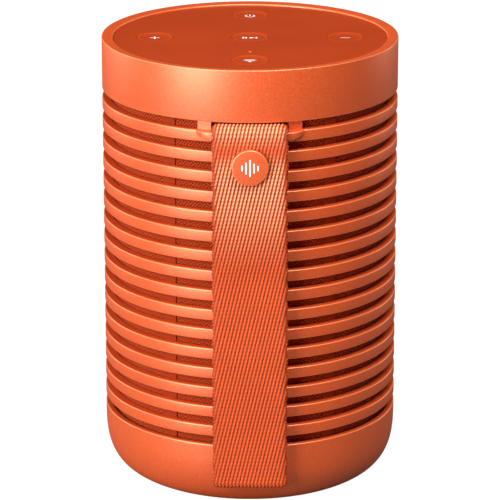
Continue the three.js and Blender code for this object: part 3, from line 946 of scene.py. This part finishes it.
@dataclass
class KeyPanel:
    """The sunk panel, its five dished keys with their printed signs, and the status light."""

    top: float = measured("top_panel", 1, 2, PANEL_LIFT)
    bottom: float = measured("top_panel", 0, 2)
    radius: float = measured("top_panel", 1, 0)
    key_radius: float = 5.0
    gap: float = 0.13
    flange_radius: float = 6.0
    dish: float = 0.25
    ink_height: float = 0.018
    stroke: float = 0.36

    def build(self) -> None:
        """Makes the panel, the keys, their signs and the light."""
        centres = {sign: node_span("button_" + sign.value) for sign in Sign}
        centres = {sign: (low + high)[:2] / 2 for sign, (low, high) in centres.items()}
        light_low, light_high = node_span("status_light")
        light = (light_low + light_high)[:2] / 2
        panel = make_piece("key_panel", self.panel(list(centres.values()), light))
        install(panel, Look.PANEL, ["top_panel"])
        for sign, centre in centres.items():
            name, body = sign.value, "key_" + sign.value
            cap = make_piece("cap_" + name, [self.cap().moved((*centre, 0))])
            install(cap, Look.KEY, ["button_" + name], body)
            strokes = [self.on_dish(grid).moved((*centre, 0)) for grid in self.drawn(sign)]
            install(make_piece("sign_" + name, strokes), Look.INK, body=body)
        lens = revolve(np.array([(0.0, self.top + 0.02), (0.25, self.top + 0.01), (0.42, self.top - 0.08),
                                 (0.42, self.bottom), (0.0, self.bottom)]), closed=False, turns=24)
        lens = make_piece("light_lens", [lens.moved((*light, 0))])
        install(lens, Look.LIGHT_GUIDE, ["status_light"])

    def dish_z(self, r: Array) -> Array:
        """Height of a key's face, a shallow bowl: the top less its depth times 1 - (r / R)^4."""
        share = np.clip(r / (self.key_radius - 0.25), 0, 1)
        return self.top - 0.03 - self.dish * (1 - share**4)

    def cap(self) -> Patch:
        """A key: dished face, eased edge, straight side and a flange under the panel.

        Returns:
            The turned key, about the Z axis.
        """
        r = np.linspace(0, self.key_radius - 0.2, 26)
        face = np.stack([r, self.dish_z(r)], axis=1)
        under, deep = self.bottom - 0.2, self.bottom - 1.05
        side, edge = rounded([
            (r[-1], face[-1, 1], 0), (self.key_radius, self.top - 0.03, 0.1), (self.key_radius, under, 0),
            (self.flange_radius, under, 0), (self.flange_radius, deep, 0), (0.0, deep, 0)], closed=False)
        profile = np.concatenate([face, side[1:]])
        # painted highlight: a lit ring just inside the dish's rim, on top of the eased edge, which the key
        # finish paints paler
        relief = np.concatenate([0.9 * np.exp(-(((r - 4.5) / 0.3) ** 2)), edge[1:]])
        return revolve(profile, relief, closed=False, turns=96)

    def on_dish(self, plan: Array) -> Patch:
        """Lays a plan grid on a key's face, a hair above it."""
        z = self.dish_z(np.linalg.norm(plan, axis=2)) + self.ink_height
        return Patch(np.concatenate([plan, z[:, :, None]], axis=2))

    def drawn(self, sign: Sign) -> list[Array]:
        """The strokes of a sign, as plan grids about the key's middle.

        Args:
            sign: which sign to draw.

        Returns:
            One grid to a stroke.
        """
        w = self.stroke
        match sign:
            case Sign.PLAY:
                return [bar(-1.85, 0, 0.46, 1.5), bar(-1.05, 0, 0.46, 1.5), wedge(1.45, -0.1, 1.5),
                        bar(1.75, 0, 0.42, 1.5)]
            case Sign.PLUS:
                return [bar(0, 0, 2.6, w), bar(0, 0.75, w, 1.1), bar(0, -0.75, w, 1.1)]
            case Sign.MINUS:
                return [bar(0, 0, 2.6, w)]
            case Sign.POWER:
                return [bow(1.25, w, 125, 415), bar(0, 1.0, w, 1.3)]
            case Sign.LINK:
                return [bow(r, w, 45, 135, -1.1) for r in (0.75, 1.55, 2.35)] + [bar(0, -1.05, 0.5, 0.5)]

    def wall(self, flat: float, side: float, turns: int) -> Patch:
        """A turned wall between the panel's faces, which start at the radius flat; its top edge is eased.

        Args:
            flat: radius where the panel's faces start.
            side: radius of the wall.
            turns: segments round it.

        Returns:
            The turned wall.
        """
        profile, edge = rounded([(flat, self.top, 0), (side, self.top, 0.12), (side, self.bottom, 0),
                                 (flat, self.bottom, 0)], closed=False)
        return revolve(profile, edge, closed=False, turns=turns)

    def panel(self, holes: list[Array], light: Array) -> list[Patch]:
        """A disc with eased round holes: a flat field between its outlines, and a turned wall round each.

        Args:
            holes: centres of the key holes.
            light: centre of the status light's hole.

        Returns:
            The patches of the whole disc.
        """
        cuts = [(centre, self.key_radius + self.gap) for centre in holes] + [(light, 0.5)]
        outer = self.radius + 0.1
        walls = [self.wall(outer - 0.5, outer, 256)]
        walls += [self.wall(r + 0.4, r, 96).moved((*centre, 0)) for centre, r in cuts]
        outlines = [ring_outline(outer - 0.5, 256)] + [ring_outline(r + 0.4, 96, tuple(c)) for c, r in cuts]
        return walls + [flat_field(outlines, z) for z in (self.top, self.bottom)]


def flat_field(outlines: list[Array], z: float) -> Patch:
    """Fills the space between an outer outline and the holes in it with flat triangles.

    Args:
        outlines: the outer outline, then one for each hole, counter-clockwise.
        z: the field's height.

    Returns:
        The triangles between the outlines.
    """
    points = np.concatenate(outlines)
    starts = np.cumsum([0] + [len(o) for o in outlines])
    edges = [(int(a + i), int(a + (i + 1) % (b - a)))
             for a, b in zip(starts[:-1], starts[1:]) for i in range(b - a)]
    made = delaunay_2d_cdt([Vector(p) for p in points], edges, [], 0, 1e-9)
    spots, triangles = np.array([tuple(v) for v in made[0]]), np.array(made[2])
    middle = spots[triangles].mean(axis=1)
    inside = np.linalg.norm(middle, axis=1) < np.linalg.norm(outlines[0], axis=1).max()
    for outline in outlines[1:]:
        centre = outline.mean(axis=0)
        inside &= np.linalg.norm(middle - centre, axis=1) > np.linalg.norm(outline[0] - centre) * 0.999
    corners = spots[triangles[inside]][:, [0, 1, 2, 2]]
    return Triangles(np.concatenate([corners, np.full((len(corners), 4, 1), z)], axis=2))


# ---- the strap


def parabola(a: Array, control: Array, b: Array, steps: int) -> Array:
    """Points of (1-t)^2 a + 2t(1-t) control + t^2 b, without the last."""
    t = np.linspace(0, 1, steps, endpoint=False)[:, None]
    return (1 - t) ** 2 * a + 2 * t * (1 - t) * control + t**2 * b


def circle_arc(centre: Array, radius: float, from_deg: float, to_deg: float, steps: int) -> Array:
    """Points of an arc in the Y-Z plane, without the last."""
    angle = np.radians(np.linspace(from_deg, to_deg, steps, endpoint=False))
    return centre + radius * np.stack([np.cos(angle), np.sin(angle)], axis=1)


@dataclass
class CarryStrap:
    """The lug, the closed loop of webbing that hangs on it, and the badge that rivets its layers together."""

    bar_y: float = -40.0
    bar_z: float = 106.25
    eye_radius: float = 2.5
    thickness: float = 1.5
    width: float = 19.9
    ridge_pitch: float = 0.98
    ridge_lean: float = 0.235
    float_lean: float = 0.33
    float_length: float = 1.05
    relief_depth: float = 0.46
    lip_top: float = 107.35
    bend_from: float = 90.5
    bend_to: float = 77.0
    outward_points: int = 620
    station_step: float = 0.19
    face_points: int = 112
    fold_length: float = 2.6

    def build(self, drum: Drum) -> None:
        """Makes the lug, the webbing and the badge.

        Args:
            drum: the drum that carries the lug.
        """
        install(make_piece("lug", self.lug(drum)), Look.METAL, ["strap_lug"])
        web = make_piece("webbing_loop", [self.webbing()], crease_deg=75)
        install(web, Look.WEBBING, ["strap_upper", "strap_tail"], body=None)
        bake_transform(web)
        low, high = node_span("strap_badge")
        radius, face, z = (high[0] - low[0]) / 2, low[1], (low[2] + high[2]) / 2
        badge = make_piece("badge", [self.badge(radius, face, z)])
        install(badge, Look.METAL, ["strap_badge"], "strap_swing")
        install(make_piece("badge_mark", self.mark(face, z)), Look.INK, body="strap_swing")

    def centre_line(self) -> Array:
        """The loop's middle line in Y and Z: up the front, over the bar, down the back and round the fold.

        Returns:
            (n, 2) points, the first of them not repeated.
        """
        low, high = node_span("strap_tail")
        half = self.thickness / 2
        outer, inner = low[1] + half, high[1] - half
        fold_radius = (inner - outer) / 2
        fold = np.array([outer + fold_radius, low[2] + fold_radius + half])
        bar, r = np.array([self.bar_y, self.bar_z]), self.eye_radius
        enter, leave = 176.0, -60.0

        def on_eye(angle: float) -> Array:
            """The point of the eye at an angle in degrees."""
            return bar + r * np.array([math.cos(math.radians(angle)), math.sin(math.radians(angle))])

        def towards(angle: float, y: float) -> Array:
            """Where the eye's tangent at an angle reaches a given Y."""
            start, turn = on_eye(angle), math.radians(angle)
            along = np.array([math.sin(turn), -math.cos(turn)])
            return start + along * (y - start[0]) / along[0]

        up = np.array([outer, self.bar_z - 9.5])
        down = np.array([inner, self.bar_z - 6.8])
        return np.concatenate([
            np.stack([np.full(500, outer), np.linspace(fold[1], up[1], 500, endpoint=False)], axis=1),
            parabola(up, towards(enter, outer), on_eye(enter), 60),
            circle_arc(bar, r, enter, leave, 80),
            parabola(on_eye(leave), towards(leave, inner), down, 40),
            np.stack([np.full(200, inner), np.linspace(down[1], fold[1], 200, endpoint=False)], axis=1),
            circle_arc(fold, fold_radius, 0, -180, 30),
        ])

    def stations(self, line: Array) -> tuple[Array, Array, Array]:
        """Even steps along the closed line, finer where the webbing faces outwards.

        Args:
            line: the loop's middle line.

        Returns:
            Points on the line, their outward normals, and their distances along it.
        """
        closed = np.concatenate([line, line[:1]])
        along = np.concatenate([[0], np.cumsum(np.linalg.norm(np.diff(closed, axis=0), axis=1))])
        total, back_starts = along[-1], along[self.outward_points]
        s = np.concatenate([np.arange(0, back_starts, self.station_step),
                            np.linspace(back_starts, total - self.fold_length, 90, endpoint=False),
                            np.linspace(total - self.fold_length, total, 16, endpoint=False)])

        def on_line(distance: Array) -> Array:
            """Points of the loop at given distances along it."""
            return np.stack([np.interp(distance % total, along, closed[:, k]) for k in (0, 1)], axis=1)

        tangent = on_line(s + 0.05) - on_line(s - 0.05)
        tangent /= np.linalg.norm(tangent, axis=1, keepdims=True)
        return on_line(s), np.stack([-tangent[:, 1], tangent[:, 0]], axis=1), s

    def weave(self, x: Array, s: Array) -> Array:
        """Height of the weave, 0 to 1: rows of slanting floats, each row set on a little from the one below.

        A float leans more than the ridge it belongs to, so that a ridge looks like a laid rope. With p the
        place across a float and q along it, both from -1 to 1, the height is
        (1 - p^2)^0.7 * (1 - 0.25 |q|^3).

        Args:
            x: place across the webbing, in millimetres.
            s: distance along it.

        Returns:
            The height at each place.
        """
        row = np.floor(s / self.float_length)
        q = 2 * (s / self.float_length - row) - 1
        shift = self.ridge_lean * row + self.float_lean * (q + 1) / 2
        across = (x - self.float_length * shift) / self.ridge_pitch
        p = 2 * (across - np.floor(across)) - 1
        return np.clip(1 - p**2, 0, 1) ** 0.7 * (1 - 0.25 * np.abs(q) ** 3)

    def belly(self, z: Array) -> Array:
        """How far the front stands off a straight line: three bell curves, a dip at the rivet and two swells."""
        return (-0.25 * np.exp(-(((z - 98.0) / 3.0) ** 2))
                + 0.85 * np.exp(-(((z - 81.0) / 9.0) ** 2)) + 0.35 * np.exp(-(((z - 42.0) / 14.0) ** 2)))

    def webbing(self) -> Patch:
        """The webbing: a flat section with round selvedges, carried along the loop, raised by its weave.

        With u across the face from -1 to 1, the section's half thickness is multiplied by
        (1 - |u|^14)^0.5, and the front sinks by the relief's depth times 1 - weave. The selvedges swell
        and shrink a little along the loop, by a cosine and a sine of the distance.

        Returns:
            The closed surface, with the height of its weave as relief.
        """
        at, normal, s = self.stations(self.centre_line())
        half_width, half = self.width / 2, self.thickness / 2
        face = np.linspace(-1, 1, self.face_points)
        u = np.concatenate([face, face[::-1][2:-2:9]])
        side = np.where(np.arange(len(u)) < self.face_points, 1.0, -1.0)
        turn = 2 * np.pi * s[:, None]
        bead = 0.14 * np.cos(turn / self.float_length) + 0.16 * np.sin(turn / 4.9)
        x = u[None] * (half_width + bead * np.abs(u[None]) ** 8)
        crown = (1 - np.abs(u) ** 14) ** 0.5
        weave = self.weave(x, s[:, None]) * crown[None]
        sunk = self.relief_depth * (weave - 1) * crown
        lift = side[None] * half * crown[None] + np.where(side > 0, sunk, 0)
        outer = (at[:, :1] < self.bar_y - self.eye_radius) & (s[:, None] < 130)
        y = at[:, :1] + normal[:, :1] * lift - np.where(outer, self.belly(at[:, 1:]), 0)
        points = np.stack([x, y, at[:, 1:] + normal[:, 1:] * lift], axis=2)
        around = np.concatenate([u, [2 + u[0]]]) * half_width
        uv = np.stack(np.meshgrid(around, np.concatenate([s, [s[-1] + 0.2]])), axis=2)
        # the weave's height, which the webbing finish paints as shade in hollows and highlight on crests; the
        # back and selvedges get flat values
        relief = np.where(side[None] > 0, np.where(crown[None] > 0.3, weave, 0.55), 0.6)
        return Patch(points, (True, True), uv, relief)

    def lug(self, drum: Drum) -> list[Patch]:
        """The lug: a crescent lip carried across in front of the first rib, and a cheek above each end of it.

        The lip's front is a straight line that turns back to the drum's wall along a quarter of an ellipse at
        each end: y = wall + (front - wall) * sqrt(1 - t^2). Its back steps forward behind the strap.

        Args:
            drum: the drum that carries the lug.

        Returns:
            The lip and its two cheeks.
        """
        low, high = node_span("strap_lug")
        half, front = high[0], low[1]
        u = np.sin(np.linspace(-np.pi / 2, np.pi / 2, 190))
        x = half * u
        slot = 1 / (1 + np.exp((np.abs(x) - 10.75) / 0.06))
        wall = -math.sqrt(drum.radius**2 - half**2) + 0.4
        turn = np.clip((np.abs(x) - 8.2) / (half - 8.2), 0, 1)
        front_y = wall + (front - wall) * np.sqrt(1 - turn**2)
        back_y = -36.0 + (-38.72 + 36.0) * slot
        section, edge = rounded([(0, 0, 0.14), (1, 0, 0.1), (1, 1, 0.1), (0, 1, 0.14)], steps=5)
        ease = np.array([0.0] + [1.0] * 188 + [0.0])[:, None]
        section = 0.5 + (section[None] - 0.5) * ease[:, :, None]
        rise = np.clip((np.abs(x) - 9.5) / (half - 9.5), 0, 1)
        bottom = low[2] + 0.75 * (self.lip_top - low[2]) * (1 - np.sqrt(1 - rise**2))
        y = front_y[:, None] + (back_y - front_y)[:, None] * section[:, :, 0]
        z = bottom[:, None] + (self.lip_top - bottom)[:, None] * section[:, :, 1]
        points = np.stack([np.broadcast_to(x[:, None], y.shape), y, z], axis=2)
        lip = Patch(points, (False, True), relief=np.broadcast_to(edge, y.shape).copy())
        near, far = (math.degrees(math.asin(v / drum.radius)) for v in (10.5, half - 0.1))
        top = drum.band_bottom + 0.3
        cheeks = [arc_block(drum.radius - 0.9, drum.radius - 3.0, a, b, self.lip_top - 0.3, top)
                  for a, b in ((near, far), (-far, -near))]
        return [lip, *cheeks]

    def badge(self, radius: float, face: float, z: float) -> Patch:
        """A turned disc with a softly crowned face and an eased rim, its axis along Y.

        Args:
            radius: the disc's radius.
            face: Y of its face.
            z: height of its middle.

        Returns:
            The turned disc.
        """
        back = self.bar_y - 3.75
        corners = [(0.0, face, 0), (radius, face + 0.12, 0.35), (radius, back, 0.1), (0.0, back, 0)]
        outline, edge = rounded(corners, steps=6, closed=False)
        patch = revolve(outline, edge, closed=False, turns=96)
        x, y, depth = np.moveaxis(patch.points, 2, 0)
        return replace(patch, points=np.stack([x, depth, y + z], axis=2))

    def mark(self, face: float, z: float) -> list[Patch]:
        """Five upright bars of different heights, printed on the badge.

        Args:
            face: Y of the badge's face.
            z: height of its middle.

        Returns:
            One patch to a bar.
        """
        patches = []
        for i, height in enumerate((1.6, 3.2, 4.6, 2.6, 1.4)):
            plan = bar((i - 2) * 1.05, 0, 0.38, height)
            y = face - 0.02 + 0.12 * np.linalg.norm(plan, axis=2) / 5.0
            patches.append(Patch(np.stack([plan[:, :, 0], y, z + plan[:, :, 1]], axis=2)))
        return patches


# ---- port and insides


@dataclass
class ChargingPort:
    """The eased lip round the charging opening at the back, over the CAD receptacle and its seal."""

    wire: float = 0.32

    def build(self, drum: Drum) -> None:
        """Makes the lip."""
        install(make_piece("port_lip", [self.lip(drum)]), Look.METAL)

    def lip(self, drum: Drum) -> Patch:
        """A round bead carried along the opening's outline where it meets the base's wall.

        Args:
            drum: the drum whose wall it follows.

        Returns:
            The closed bead.
        """
        (x, z), angle = port_outline(120)
        depth = np.clip((drum.base_drop - z) / drum.base_drop, 0, 1)
        reach, power = drum.base_reach, drum.base_power
        r = drum.radius - reach + reach * (1 - depth**power) ** (1 / power)
        y = np.sqrt(r**2 - x**2) - 0.12
        bead = full_turn(12)
        out = np.stack([np.cos(angle), 0 * angle, np.sin(angle)], axis=1)
        along = np.array([0.0, 1.0, 0.0])
        centre = np.stack([x, y, z], axis=1)
        points = (centre[:, None] + self.wire * (out[:, None] * np.cos(bead)[None, :, None]
                                                 + along * np.sin(bead)[None, :, None]))
        return Patch(points, (True, True))


@dataclass
class Inside:
    """Finishes for the CAD nodes that keep their own shape."""

    looks: dict[str, Look] = field(default_factory=lambda: {
        "enclosure_polymer": Look.ENCLOSURE, "seal_rubber": Look.SEAL, "foot_rubber": Look.FOOT,
        "screw_steel": Look.STEEL, "magnet_steel": Look.MAGNET, "cone_material": Look.CONE,
        "circuit_board": Look.BOARD, "cell_wrap": Look.CELL, "lead_sleeve": Look.SEAL,
        "anodised_aluminium": Look.METAL, "panel_polymer": Look.PANEL, "key_polymer": Look.KEY,
        "speaker_cloth": Look.CLOTH, "webbing": Look.WEBBING, "light_guide": Look.LIGHT_GUIDE,
    })

    def build(self) -> None:
        """Dresses every CAD node by its slot in the record."""
        for part in frame["record"]["subparts"]:
            self.looks[part["material_slot"]].on(frame["nodes"][part["node"]])
        log.info("dressed %d CAD nodes", len(frame["nodes"]))


# ---- studio


@dataclass(frozen=True)
class SoftBox:
    """A rectangular light that faces the speaker. Angles are in degrees, azimuth from -Y towards +X."""

    name: str
    azimuth: float
    elevation: float
    distance: float
    width: float
    height: float
    watts: float

    def build(self, target: Vector) -> None:
        """Adds the light.

        Args:
            target: the point that the light faces, in metres.
        """
        a, e = math.radians(self.azimuth), math.radians(self.elevation)
        light = bpy.data.lights.new(self.name, "AREA")
        light.shape, light.size, light.size_y = "RECTANGLE", self.width, self.height
        light.energy = self.watts
        lamp = bpy.data.objects.new(self.name, light)
        back = Vector((math.sin(a) * math.cos(e), -math.cos(a) * math.cos(e), math.sin(e)))
        lamp.location = target + back * self.distance
        lamp.rotation_euler = (-back).to_track_quat("-Z", "Y").to_euler()
        bpy.context.scene.collection.objects.link(lamp)


@dataclass
class Studio:
    """A pale floor, soft light from the front left and a long lens above the strap side."""

    camera_at: tuple[float, float, float] = (0.0, -0.8614, 0.3315)
    aim: tuple[float, float, float] = (0.0, 0.0, 0.06234)
    lens_mm: float = 233.3
    ambient: float = 0.045
    floor_glow: float = 1.0

    def build(self) -> None:
        """Makes the camera, the lights, the surroundings and the floor."""
        scene = bpy.context.scene
        camera = bpy.data.objects.new("camera", bpy.data.cameras.new("camera"))
        camera.data.lens, camera.data.sensor_width = self.lens_mm, 36.0
        camera.data.clip_start, camera.data.clip_end = 0.05, 50.0
        camera.location = self.camera_at
        sight = Vector(self.aim) - Vector(self.camera_at)
        camera.rotation_euler = sight.to_track_quat("-Z", "Y").to_euler()
        scene.collection.objects.link(camera)
        scene.camera = camera
        target = Vector((0.0, 0.0, 0.065))
        for box in (SoftBox("key_light", -41, 15, 0.9, 0.54, 0.70, 12.0),
                    SoftBox("side_light", -105, 12, 0.9, 0.3, 0.6, 1.0),
                    SoftBox("front_light", 28, 58, 1.0, 0.5, 0.4, 9.0),
                    SoftBox("back_light_left", -118, 6, 1.0, 0.5, 0.4, 2.2),
                    SoftBox("back_light_right", 124, 6, 1.0, 0.5, 0.4, 1.8),
                    SoftBox("top_light", -20, 75, 1.0, 0.6, 0.6, 3.0)):
            box.build(target)
        world = bpy.data.worlds.new("surroundings")
        world.use_nodes = True
        world.node_tree.nodes["Background"].inputs["Color"].default_value = (1.0, 0.985, 0.97, 1.0)
        world.node_tree.nodes["Background"].inputs["Strength"].default_value = self.ambient
        scene.world = world
        scene.view_settings.view_transform = "Standard"
        self.floor()

    def floor(self) -> None:
        """A wide pale disc that the speaker stands on."""
        profile = np.array([(0.0, 0.0), (400.0, 0.0), (6000.0, 0.0)])
        disc = make_piece("floor", [revolve(profile, closed=False, turns=96)])
        g = Graph("floor_paper", Roughness=0.9, Emission_Color=(1.0, 1.0, 1.0, 1.0))
        seen = g.add("LightPath", out="Is Camera Ray")
        g.set("Emission Strength", g.math("MULTIPLY", seen, self.floor_glow))
        cloud = g.noise(g.millimetres(), 0.01, 2)
        g.set("Base Color", g.mix(cloud, (0.11, 0.11, 0.11), (0.13, 0.13, 0.13)))
        disc.data.materials.append(g.material)


def main() -> None:
    """Builds the studio and every sub-assembly."""
    logging.basicConfig(level=logging.INFO, format="%(name)s: %(message)s")
    Studio().build()
    Inside().build()
    drum = Drum()
    drum.build()
    SpeakerCloth().build(drum)
    KeyPanel().build()
    CarryStrap().build(drum)
    ChargingPort().build(drum)


if __name__ == "__main__":
    main()
